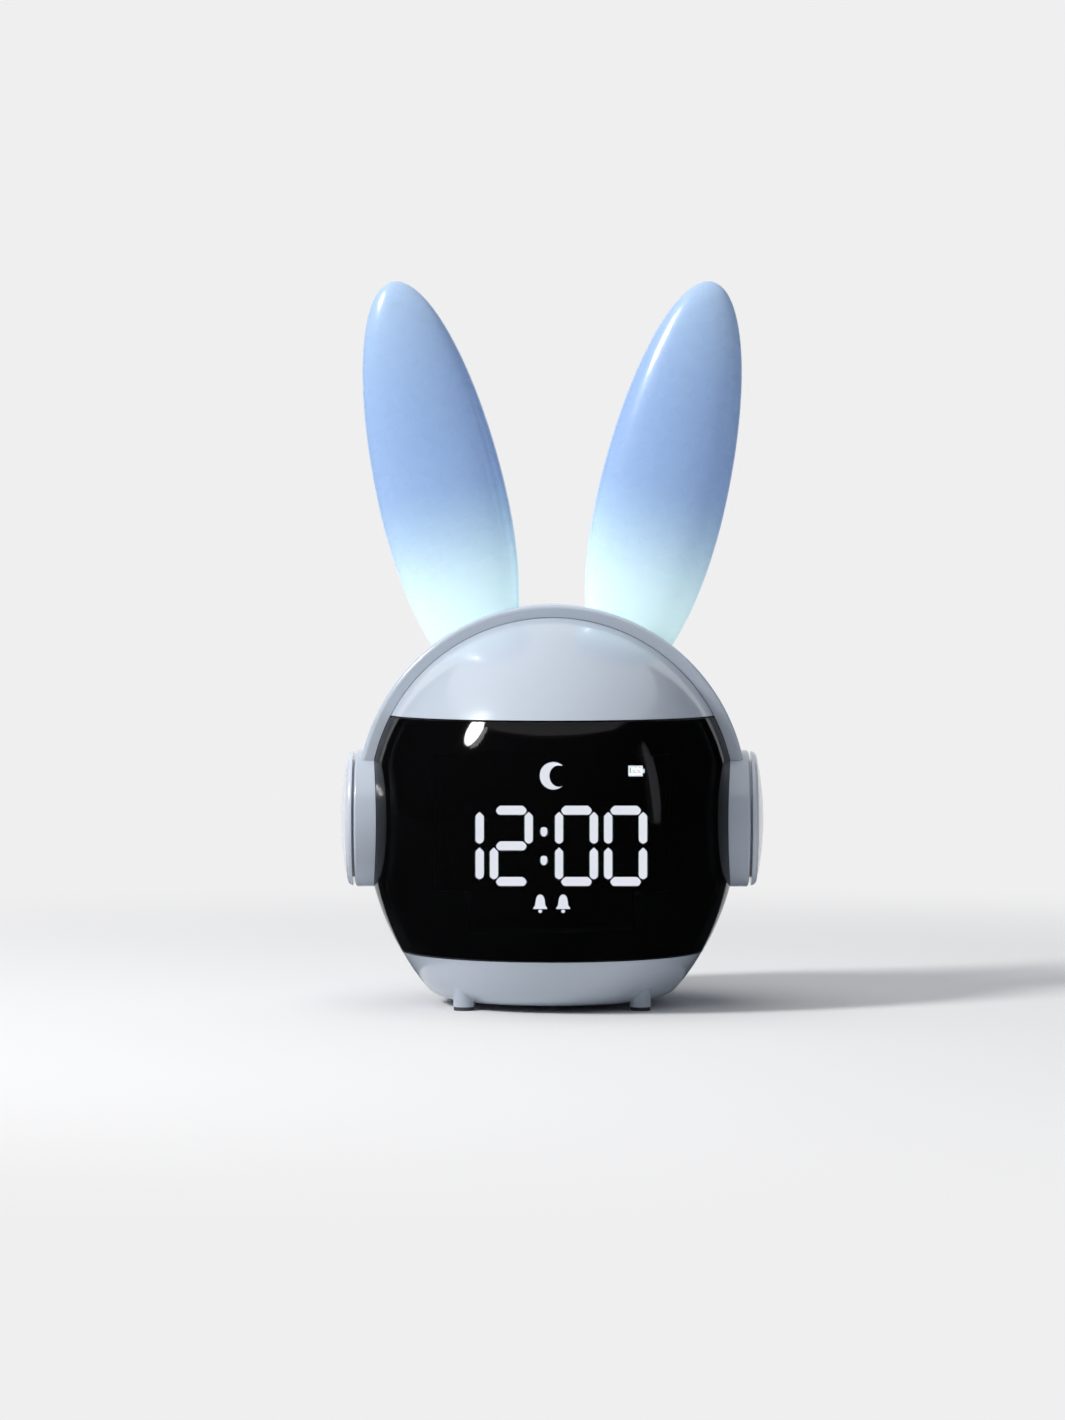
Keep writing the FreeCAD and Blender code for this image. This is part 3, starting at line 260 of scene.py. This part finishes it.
# Chips and switch bodies: moulded epoxy and nylon with a fine dull grain, soldered to the
# boards.
chip_finish = Finish("dull_epoxy", IOR=1.5)
chip_grain = chip_finish.noise(3000.0, 3.0, 0.7)
chip_finish.feed(
    Base_Color=chip_finish.blend(chip_grain, paint(30, 30, 32), paint(44, 44, 47)),
    Roughness=0.5 + 0.2 * chip_grain,
    Normal=chip_finish.bump(chip_grain, 0.00003, 0.6),
)
dress(["board_chips", "key_switches", "side_switches"], chip_finish)

# Lit digits and icons: moulded milky light guides with rounded ends, each pushed into its
# window in the segment block. The display board lights them from behind, not quite evenly.
lit_finish = Finish("lit_light_guides", Emission_Strength=7.4, Roughness=0.4)
lit_cloud = lit_finish.noise(160.0, 2.0)
lit_finish.feed(
    Base_Color=lit_finish.blend(lit_cloud, paint(236, 238, 244), paint(226, 229, 238)),
    Emission_Color=lit_finish.blend(
        lit_cloud, paint(246, 248, 255), paint(232, 236, 250)
    ),
    Roughness=0.35 + 0.15 * lit_cloud,
)
guide_front, guide_back = -0.0316, -0.026
front_bevel = 0.00008
bar_length, bar_width, bar_tip = 0.0074, 0.00195, 0.00042
digit_middle = 0.04115
digit_columns = (-0.02195, -0.00995, 0.00595, 0.01795)
column_half, row_step = 0.00425, 0.0087
colon_x, colon_rise, colon_size = -0.002, 0.0035, (0.00082, 0.00112)
digit_bars = {  # across, up, upright
    "a": (0.0, 1.0, False),
    "b": (1.0, 0.5, True),
    "c": (1.0, -0.5, True),
    "d": (0.0, -1.0, False),
    "e": (-1.0, -0.5, True),
    "f": (-1.0, 0.5, True),
    "g": (0.0, 0.0, False),
}


def light_guides(name, outlines, node):
    """Flat closed outlines of (across, height) points, as deep as the segment block, with a
    fine bevel round the front."""
    shape = bmesh.new()
    for outline in outlines:
        fronts = [shape.verts.new((x, guide_front, z)) for x, z in outline]
        backs = [shape.verts.new((x, guide_back, z)) for x, z in outline]
        for corners in tessellate_polygon([[Vector((x, z, 0.0)) for x, z in outline]]):
            shape.faces.new([fronts[corner] for corner in corners])
            shape.faces.new([backs[corner] for corner in corners])
        for number in range(len(outline)):
            after = (number + 1) % len(outline)
            shape.faces.new(
                (fronts[number], fronts[after], backs[after], backs[number])
            )
    bmesh.ops.recalc_face_normals(shape, faces=shape.faces)
    mesh = bpy.data.meshes.new(name)
    shape.to_mesh(mesh)
    shape.free()
    mesh.materials.append(lit_finish.material)
    guides = bpy.data.objects.new(name, mesh)
    bpy.context.scene.collection.objects.link(guides)
    softened = guides.modifiers.new("rounded_front", "BEVEL")
    softened.width, softened.segments = front_bevel, 2
    softened.limit_method, softened.angle_limit = "ANGLE", math.radians(50)
    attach(guides, "root")
    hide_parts(node)


def rounded_bar(x, z, upright):
    """A bar that narrows to rounded ends, as an outline of points."""
    half, side = bar_length / 2, bar_width / 2
    quarter = [
        (half - side * 0.85, side),
        (half - side * 0.5, side * 0.9),
        (half - bar_tip * 0.55, side * 0.55),
        (half - bar_tip * 0.1, side * 0.25),
    ]
    right = quarter + [(along, -across) for along, across in quarter[::-1]]
    ring = right + [(-along, -across) for along, across in right]
    if upright:
        ring = [(across, -along) for along, across in ring]
    return [(x + across, z + height) for across, height in ring]


def dot(x, z, wide, high, count=20):
    """A small upright oval, by its half width and half height."""
    turns = [2 * math.pi * step / count for step in range(count)]
    return [(x + wide * math.cos(turn), z + high * math.sin(turn)) for turn in turns]


digit_outlines = [
    dot(colon_x, digit_middle + up, *colon_size) for up in (colon_rise, -colon_rise)
]
for column, bars in zip(digit_columns, ("bc", "abged", "abcdef", "abcdef")):
    for bar in bars:
        across, up, upright = digit_bars[bar]
        digit_outlines.append(
            rounded_bar(
                column + across * column_half, digit_middle + up * row_step, upright
            )
        )
light_guides("lit_bars", digit_outlines, "lit_digits")

moon_x, moon_z, moon_radius = 0.0003, 0.0583, 0.0033
bite_shift, bite_width, bite_height = 0.42, 0.72, 0.8
moon_edge = [math.radians(turn) for turn in range(52, 309, 16)]
moon_bite = [math.radians(turn) for turn in range(292, 67, -14)]
moon_outline = [
    (moon_x + moon_radius * math.cos(turn), moon_z + moon_radius * math.sin(turn))
    for turn in moon_edge
] + [
    (
        moon_x + moon_radius * (bite_shift + bite_width * math.cos(turn)),
        moon_z + bite_height * moon_radius * math.sin(turn),
    )
    for turn in moon_bite
]


def bell_outline(x, z):
    """A small bell: a round crown that flares out to its rim."""
    half = [
        (0.00018, 0.00215),
        (0.00062, 0.00192),
        (0.00092, 0.0014),
        (0.00102, 0.0007),
        (0.00112, 0.0),
        (0.00132, -0.00062),
        (0.0017, -0.00112),
        (0.0017, -0.00138),
    ]
    return [(x + across, z + up) for across, up in half] + [
        (x - across, z + up) for across, up in half[::-1]
    ]


bell_columns, bell_z, clapper_z = (-0.0029, 0.0027), 0.0272, 0.0252
battery_x, battery_z = 0.0206, 0.0595


def battery_part(left, right, low, high):
    """One bar of the battery sign, from the sign's middle."""
    return [
        (battery_x + left, battery_z + low),
        (battery_x + right, battery_z + low),
        (battery_x + right, battery_z + high),
        (battery_x + left, battery_z + high),
    ]


icon_outlines = [moon_outline] + [bell_outline(x, bell_z) for x in bell_columns]
icon_outlines += [dot(x, clapper_z, 0.00045, 0.00034, 12) for x in bell_columns]
icon_outlines += [
    battery_part(-0.00195, 0.0015, 0.00085, 0.00125),
    battery_part(-0.00195, 0.0015, -0.00125, -0.00085),
    battery_part(-0.00195, -0.00155, -0.00085, 0.00085),
    battery_part(0.0011, 0.0015, -0.00085, 0.00085),
    battery_part(0.0015, 0.00195, -0.00045, 0.00045),
    battery_part(-0.0012, -0.0003, -0.0005, 0.0005),
    battery_part(-0.0001, 0.0008, -0.0005, 0.0005),
]
light_guides("lit_signs", icon_outlines, "lit_icons")

# Unlit segments: the same milky guides in the same windows of the segment block, with no
# light behind them, so all but black under the lens.
unlit_finish = Finish("unlit_light_guides", Specular_IOR_Level=0.3)
unlit_cloud = unlit_finish.noise(400.0, 2.0)
unlit_finish.feed(
    Base_Color=unlit_finish.blend(unlit_cloud, paint(9, 9, 10), paint(13, 13, 15)),
    Roughness=0.55 + 0.15 * unlit_cloud,
)
dress(["unlit_segments"], unlit_finish)

# Circuit boards: cut from glass epoxy sheet, under green solder mask with tracks that show
# as paler lines. The larger ones are screwed to moulded posts.
board_finish = Finish("solder_mask", Coat_Weight=0.3, Coat_Roughness=0.12)
board_tracks = board_finish.node(
    "ShaderNodeTexBrick",
    {"offset": 0.5},
    {
        "Vector": board_finish.place(),
        "Scale": 260.0,
        "Mortar Size": 0.05,
        "Color1": (0.0, 0.0, 0.0, 1.0),
        "Color2": (0.0, 0.0, 0.0, 1.0),
        "Mortar": (1.0, 1.0, 1.0, 1.0),
    },
)
board_cloud = board_finish.noise(500.0)
board_finish.feed(
    Base_Color=board_finish.blend(board_tracks, paint(24, 84, 52), paint(52, 122, 78)),
    Roughness=0.3 + 0.2 * board_cloud,
    Normal=board_finish.bump(board_tracks, 0.00003, 0.5),
)
dress(
    [
        "display_board",
        "main_board",
        "charge_board",
        "left_switch_board",
        "right_switch_board",
        "ear_light_boards",
    ],
    board_finish,
)

# Screws, socket can, slide switch can and speaker frame: rolled, drawn or pressed steel,
# plated bright, with fine drawing marks.
steel_finish = Finish("plated_steel", Metallic=1.0)
steel_marks = steel_finish.node(
    "ShaderNodeTexNoise",
    None,
    {
        "Vector": steel_finish.node(
            "ShaderNodeMapping",
            None,
            {"Vector": steel_finish.place(), "Scale": (900.0, 900.0, 6000.0)},
        ),
        "Scale": 1.0,
        "Detail": 4.0,
    },
)
steel_finish.feed(
    Base_Color=steel_finish.blend(
        steel_marks, paint(196, 197, 201), paint(168, 170, 176)
    ),
    Roughness=0.22 + 0.2 * steel_marks,
    Normal=steel_finish.bump(steel_marks, 0.00002, 0.4),
)
dress(
    [
        "display_screws",
        "case_screws",
        "board_screws",
        "side_screws",
        "usb_socket",
        "slide_switch",
        "speaker_frame",
    ],
    steel_finish,
)

# Battery: a foil pouch, faintly crinkled, stuck to the main board with dark foam.
foil_finish = Finish("foil_pouch", Metallic=0.85)
foil_creases = foil_finish.node(
    "ShaderNodeTexVoronoi", None, {"Vector": foil_finish.place(), "Scale": 210.0}
)
foil_cloud = foil_finish.noise(120.0)
foil_finish.feed(
    Base_Color=foil_finish.blend(
        foil_cloud, paint(186, 190, 197), paint(162, 167, 176)
    ),
    Roughness=0.3 + 0.18 * foil_cloud,
    Normal=foil_finish.bump(foil_creases, 0.0001, 0.4),
)
dress(["battery"], foil_finish)
foam_finish = Finish("dark_foam", Sheen_Weight=0.2)
foam_cells = foam_finish.node(
    "ShaderNodeTexVoronoi", None, {"Vector": foam_finish.place(), "Scale": 2600.0}
)
foam_finish.feed(
    Base_Color=foam_finish.blend(foam_cells, paint(70, 71, 74), paint(92, 93, 96)),
    Roughness=0.85 + 0.1 * foam_cells,
    Normal=foam_finish.bump(foam_cells, 0.0001, 0.9),
)
dress(["battery_foam"], foam_finish)

# Speaker cone and magnet: a cone pressed from black paper pulp and glued into the frame's
# rim, and a nickel-plated pot glued behind it.
cone_finish = Finish("paper_pulp")
cone_fibre = cone_finish.noise(1500.0, 6.0, 0.8)
cone_finish.feed(
    Base_Color=cone_finish.blend(cone_fibre, paint(38, 37, 36), paint(66, 64, 62)),
    Roughness=0.8 + 0.15 * cone_fibre,
    Normal=cone_finish.bump(cone_fibre, 0.0001, 0.8),
)
dress(["speaker_cone"], cone_finish)
magnet_finish = Finish("plated_magnet", Metallic=1.0)
magnet_cloud = magnet_finish.noise(700.0)
magnet_finish.feed(
    Base_Color=magnet_finish.blend(
        magnet_cloud, paint(140, 140, 142), paint(120, 120, 123)
    ),
    Roughness=0.35 + 0.2 * magnet_cloud,
)
dress(["speaker_magnet"], magnet_finish)

# Plungers, ear rings and connectors: natural white nylon, injection-moulded and slightly
# waxy. The plungers slide in the switches and the rings hold the ears under the dome.
nylon_finish = Finish("natural_nylon", IOR=1.53)
nylon_cloud = nylon_finish.noise(500.0)
nylon_finish.feed(
    Base_Color=nylon_finish.blend(
        nylon_cloud, paint(232, 231, 226), paint(222, 221, 214)
    ),
    Roughness=0.4 + 0.15 * nylon_cloud,
    Normal=nylon_finish.bump(nylon_cloud, 0.00004, 0.4),
)
dress(
    [
        "mode_plunger",
        "set_plunger",
        "up_plunger",
        "down_plunger",
        "left_plunger",
        "right_plunger",
        "ear_rings",
        "ribbon_connectors",
    ],
    nylon_finish,
)

# Ribbon cable: parallel wires in pale PVC, seen as fine ridges along the cable. It is
# crimped into a connector at each end.
ribbon_finish = Finish("ribbon_pvc")
ribbon_ridges = ribbon_finish.node(
    "ShaderNodeTexWave",
    {"bands_direction": "X"},
    {"Vector": ribbon_finish.place(), "Scale": 250.0},
)
ribbon_finish.feed(
    Base_Color=ribbon_finish.blend(
        ribbon_ridges, paint(204, 205, 208), paint(186, 187, 191)
    ),
    Roughness=0.45 + 0.1 * ribbon_ridges,
    Normal=ribbon_finish.bump(ribbon_ridges, 0.00015, 0.7),
)
dress(["ribbon_cable"], ribbon_finish)

# Ears: thick translucent silicone, moulded hollow, with a lamp in the neck. The lamp's light is
# painted on: a pale cyan colour and emission fill the lowest third and fade up into blue.
# Higher up, the emission is painted fill light on the shaded side, and the paler tip is painted
# light.
# A ring under the dome holds each ear.
ear_root = (0.0184, 0.088)
ear_tilt = math.radians(13.2)
ear_length = 0.0944
ear_finish = Finish(
    "silicone_with_painted_glow",
    Emission_Strength=1.0,
    Coat_Weight=0.42,
    Coat_Roughness=0.06,
    IOR=1.42,
    Sheen_Weight=0.25,
    Sheen_Roughness=0.4,
)
ear_place = ear_finish.node(
    "ShaderNodeSeparateXYZ", None, {"Vector": ear_finish.place()}
)
ear_high = ear_place.sibling("Z")
ear_out = ear_place.worked("ABSOLUTE", ear_place)
rise = (
    (ear_out - ear_root[0]) * math.sin(ear_tilt)
    + (ear_high - ear_root[1]) * math.cos(ear_tilt)
) / ear_length


def up_the_ear(*stops):
    """A colour that changes from the ear's foot, 0, to its tip, 1."""
    return ear_finish.node("ShaderNodeValToRGB", {"stops": stops}, {"Fac": rise})


# Base colour: the pale cyan at the foot is the lamp's glow painted into the colour, and the
# paler tip is painted light.
ear_colour_with_painted_glow = up_the_ear(
    (0.05, paint(212, 234, 238)),
    (0.20, paint(204, 228, 238)),
    (0.33, paint(174, 202, 230)),
    (0.45, paint(148, 178, 221)),
    (0.75, paint(152, 182, 221)),
    (1.0, paint(174, 200, 230)),
)
# Emission: a painted glow of the lamp at the foot, and painted fill light that lifts the shaded
# side higher up.
ear_painted_glow = up_the_ear(
    (0.05, paint(156, 182, 182)),
    (0.16, paint(142, 168, 174)),
    (0.30, paint(76, 100, 122)),
    (0.45, paint(44, 60, 96)),
    (0.75, paint(36, 48, 82)),
    (1.0, paint(38, 48, 72)),
)
ear_peel = ear_finish.noise(260.0, 2.0, 0.4)
ear_finish.feed(
    Base_Color=ear_colour_with_painted_glow,
    Emission_Color=ear_painted_glow,
    Roughness=0.25 + 0.05 * ear_peel,
    Normal=ear_finish.bump(ear_peel, 0.00005, 0.3),
)
dress(["right_ear", "left_ear"], ear_finish)

# Ear lamps: LEDs cast in clear epoxy, soldered to small round boards that stand in the
# necks of the ears.
lamp_finish = Finish("clear_lamp", Emission_Strength=2.0, Roughness=0.15)
lamp_cloud = lamp_finish.noise(400.0, 2.0)
lamp_finish.feed(
    Base_Color=lamp_finish.blend(lamp_cloud, paint(236, 246, 250), paint(220, 236, 246)),
    Emission_Color=lamp_finish.blend(
        lamp_cloud, paint(200, 240, 255), paint(180, 226, 250)
    ),
)
dress(["ear_lamps"], lamp_finish)

# Feet: moulded tips of soft dark rubber, each with a plug that is pushed into a peg of the
# shells. They carry the clock.
rubber_finish = Finish("soft_rubber", IOR=1.5)
rubber_grain = rubber_finish.noise(1600.0, 3.0, 0.7)
rubber_finish.feed(
    Base_Color=rubber_finish.blend(rubber_grain, paint(54, 56, 62), paint(70, 72, 79)),
    Roughness=0.7 + 0.15 * rubber_grain,
    Normal=rubber_finish.bump(rubber_grain, 0.00006, 0.7),
)
dress(["rubber_feet"], rubber_finish)

# Floor: a plain pale sweep. Close to the clock it is a matt surface that takes the shadow,
# and farther out it runs into the backdrop's own level.
backdrop_colour = paint(239, 239, 240)
floor_radius, fade_start, fade_end = 9.0, 0.16, 0.42
floor_mesh = bpy.data.meshes.new("floor")
floor_shape = bmesh.new()
bmesh.ops.create_circle(floor_shape, cap_ends=True, segments=96, radius=floor_radius)
floor_shape.to_mesh(floor_mesh)
floor_shape.free()
floor = bpy.data.objects.new("floor", floor_mesh)
bpy.context.scene.collection.objects.link(floor)
floor_material = bpy.data.materials.new("pale_floor")
floor_material.use_nodes = True
floor_material.node_tree.nodes.clear()
floor_graph = Graph(floor_material.node_tree)


def seen_rays(graph):
    """1 for the rays that show the background: camera, glossy and transmission rays."""
    kinds = graph.node("ShaderNodeLightPath", None, None, "Is Camera Ray")
    seen = kinds
    for kind in ("Is Glossy Ray", "Is Transmission Ray"):
        seen = seen.worked("MAXIMUM", seen, kinds.sibling(kind))
    return seen


far = floor_graph.node(
    "ShaderNodeVectorMath", {"operation": "LENGTH"}, {0: floor_graph.place()}, "Value"
)
fade = floor_graph.node(
    "ShaderNodeMapRange",
    {"interpolation_type": "SMOOTHSTEP"},
    {"Value": far, "From Min": fade_start, "From Max": fade_end},
)
matt = floor_graph.node("ShaderNodeBsdfDiffuse", None, {"Color": paint(237, 237, 238)})
glow = floor_graph.node("ShaderNodeEmission", None, {"Color": backdrop_colour})
mixed = floor_graph.node(
    "ShaderNodeMixShader", None, {0: fade * seen_rays(floor_graph), 1: matt, 2: glow}
)
floor_graph.node("ShaderNodeOutputMaterial", None, {"Surface": mixed})
floor_mesh.materials.append(floor_material)

# Backdrop: an even pale world for what is seen, and a softer even fill for the clock itself.
world = bpy.data.worlds.new("studio")
bpy.context.scene.world = world
world.use_nodes = True
world.node_tree.nodes.clear()
world_graph = Graph(world.node_tree)
shown = world_graph.node("ShaderNodeBackground", None, {"Color": backdrop_colour})
fill = world_graph.node(
    "ShaderNodeBackground", None, {"Color": paint(226, 232, 240), "Strength": 0.2}
)
world_mix = world_graph.node(
    "ShaderNodeMixShader", None, {0: seen_rays(world_graph), 1: fill, 2: shown}
)
world_graph.node("ShaderNodeOutputWorld", None, {"Surface": world_mix})

# Black flag: a dark curved card behind the camera, and its foot on the floor in front of the
# clock. Only reflections see it, so the lens stays as dark as in a studio.
flag_radius, flag_height, flag_reach = 2.4, 2.2, 140
foot_share, floor_gap = 0.018, 0.0004
flag_mesh = bpy.data.meshes.new("black_flag")
flag_shape = bmesh.new()
rails = [
    [
        flag_shape.verts.new(
            (
                flag_radius * math.sin(math.radians(turn)),
                -flag_radius * math.cos(math.radians(turn)),
                height,
            )
        )
        for turn in range(-flag_reach, flag_reach + 1, 5)
    ]
    for height in (floor_gap, flag_height)
]
foot_rail = [
    flag_shape.verts.new((foot_share * corner.co.x, foot_share * corner.co.y, floor_gap))
    for corner in rails[0]
]
for inner, outer in ((rails[0], rails[1]), (foot_rail, rails[0])):
    for a, b, c, d in zip(inner, inner[1:], outer[1:], outer):
        flag_shape.faces.new((a, b, c, d))
flag_shape.to_mesh(flag_mesh)
flag_shape.free()
flag = bpy.data.objects.new("black_flag", flag_mesh)
bpy.context.scene.collection.objects.link(flag)
flag_finish = Finish(
    "black_card",
    Base_Color=(0.004, 0.004, 0.004, 1.0),
    Roughness=1.0,
    Specular_IOR_Level=0.0,
)
flag_mesh.materials.append(flag_finish.material)
flag.visible_camera = False
flag.visible_diffuse = False
flag.visible_shadow = False
flag.visible_transmission = False

# Lamps: a soft key from the upper left, which makes the hot spot, a wide top light that
# no reflection shows, and a dim strip at the right.
aim = Vector((0.0, 0.0, 0.07))


def softbox(name, spot, width, height, power, colour):
    """An oval lamp that is turned to the clock. Sizes in metres, power in watts."""
    light = bpy.data.lights.new(name, "AREA")
    light.shape = "ELLIPSE"
    light.size, light.size_y = width, height
    light.energy = power
    light.color = colour
    lamp = bpy.data.objects.new(name, light)
    lamp.location = spot
    lamp.rotation_euler = (aim - Vector(spot)).to_track_quat("-Z", "Y").to_euler()
    bpy.context.scene.collection.objects.link(lamp)
    return lamp


softbox("key", (-0.99, -0.54, 0.93), 0.24, 0.42, 15.5, (1.0, 0.99, 0.97))
top_lamp = softbox("top", (-0.2, -0.1, 1.6), 2.0, 1.6, 12.8, (1.0, 1.0, 1.0))
top_lamp.visible_glossy = False
softbox("strip", (1.25, -0.55, 0.35), 0.16, 0.9, 0.35, (0.92, 0.95, 1.0))

# Camera: a long lens 1.3 m in front of the clock and a little above the ears' feet, as the
# curves of the display band show.
camera_data = bpy.data.cameras.new("camera")
camera_data.lens = 129.5
camera_data.sensor_width = 36.0
camera_data.clip_start = 0.05
camera = bpy.data.objects.new("camera", camera_data)
bpy.context.scene.collection.objects.link(camera)
camera.location = (0.0, -1.275, 0.122)
look_at = Vector((-0.0049, 0.0, 0.0732))
camera.rotation_euler = (look_at - camera.location).to_track_quat("-Z", "Y").to_euler()
bpy.context.scene.camera = camera
bpy.context.scene.view_settings.view_transform = "Standard"
